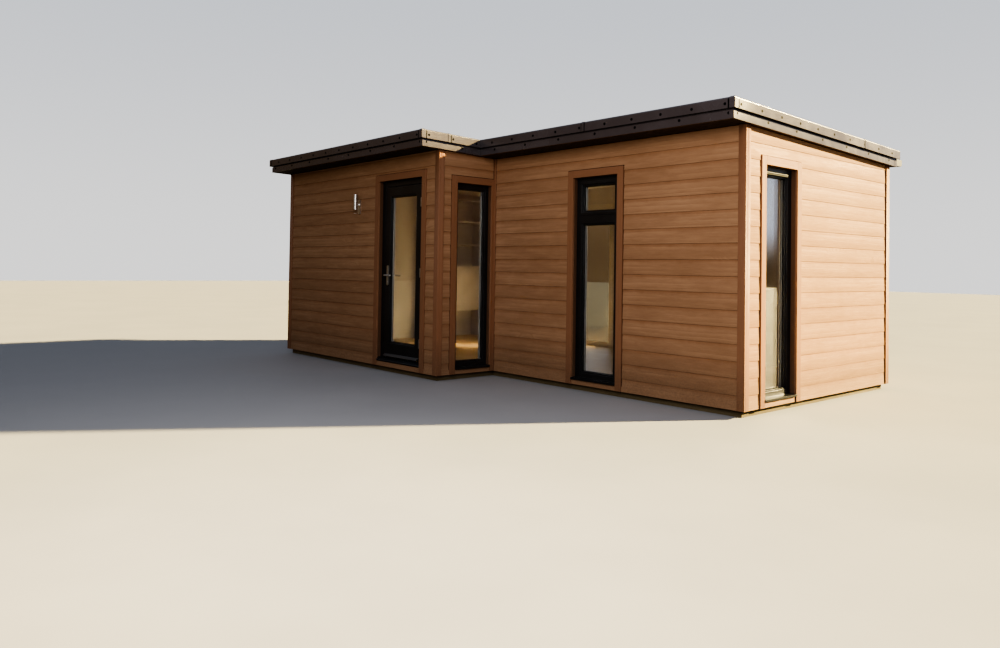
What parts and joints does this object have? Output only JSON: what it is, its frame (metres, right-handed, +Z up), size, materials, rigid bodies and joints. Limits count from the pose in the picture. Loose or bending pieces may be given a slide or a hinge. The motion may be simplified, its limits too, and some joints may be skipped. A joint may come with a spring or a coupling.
{
  "type": "garden office pod",
  "caption": "Flat-roofed L-shaped garden room with lapped cladding, tall narrow windows, a glazed door and a two-tier metal roof edge.",
  "frame": {"origin": "centre of the bounding box in plan, at ground level", "axes": "+X to the right along the front, +Y to the back, +Z up"},
  "size_m": [6.376, 3.859, 2.5097],
  "materials": {
    "cladding_wall": "grained satin boards, light tan",
    "base_timber": "dark treated timber",
    "floor": "oak-effect boards",
    "roof_membrane": "matt membrane",
    "edge_metal": "satin grey coated sheet",
    "trim_boards": "satin board, light tan",
    "window_frame": "satin black",
    "glazing": "clear double glazing",
    "satin_metal": "satin stainless",
    "rain_goods": "black plastic",
    "white_shelf": "white laminate"
  },
  "bodies": {
    "building": {"right_wall": "cladding_wall", "left_wall": "cladding_wall", "back_wall": "cladding_wall", "front_wall": "cladding_wall", "return_wall": "cladding_wall", "wing_wall_left": "cladding_wall", "wing_wall_right": "cladding_wall", "wing_wall_over_door": "cladding_wall", "main_base": "base_timber", "wing_base": "base_timber", "main_floor": "floor", "wing_floor": "floor", "main_roof": "roof_membrane", "wing_roof": "roof_membrane", "front_fascia": "edge_metal", "return_fascia": "edge_metal", "wing_fascia": "edge_metal", "left_fascia": "edge_metal", "right_fascia": "edge_metal", "back_fascia": "edge_metal", "front_kerb": "edge_metal", "return_kerb": "edge_metal", "wing_kerb": "edge_metal", "left_kerb": "edge_metal", "right_kerb": "edge_metal", "kerb_caps": "edge_metal", "corner_trims": "trim_boards", "window_trims": "trim_boards", "door_trim": "trim_boards", "front_window_frame": "window_frame", "side_window_frame": "window_frame", "return_window_frame": "window_frame", "rear_window_frame": "window_frame", "door_frame": "window_frame", "window_glass": "glazing", "frame_hinges": "satin_metal", "wall_light": "satin_metal", "side_window_vent": "satin_metal", "gutter": "rain_goods", "downpipe": "rain_goods", "shelf_unit": "white_shelf"},
    "door": {"door_leaf": "window_frame", "door_glass": "glazing", "door_handles": "satin_metal", "leaf_hinges": "satin_metal"}
  },
  "joints": [
    {"name": "door_hinge", "type": "hinge", "parent": "building", "child": "door", "pos_m": [-0.241, -1.6095, 0], "axis": [0, 0, 1], "range_deg": [0, 95]}
  ]
}
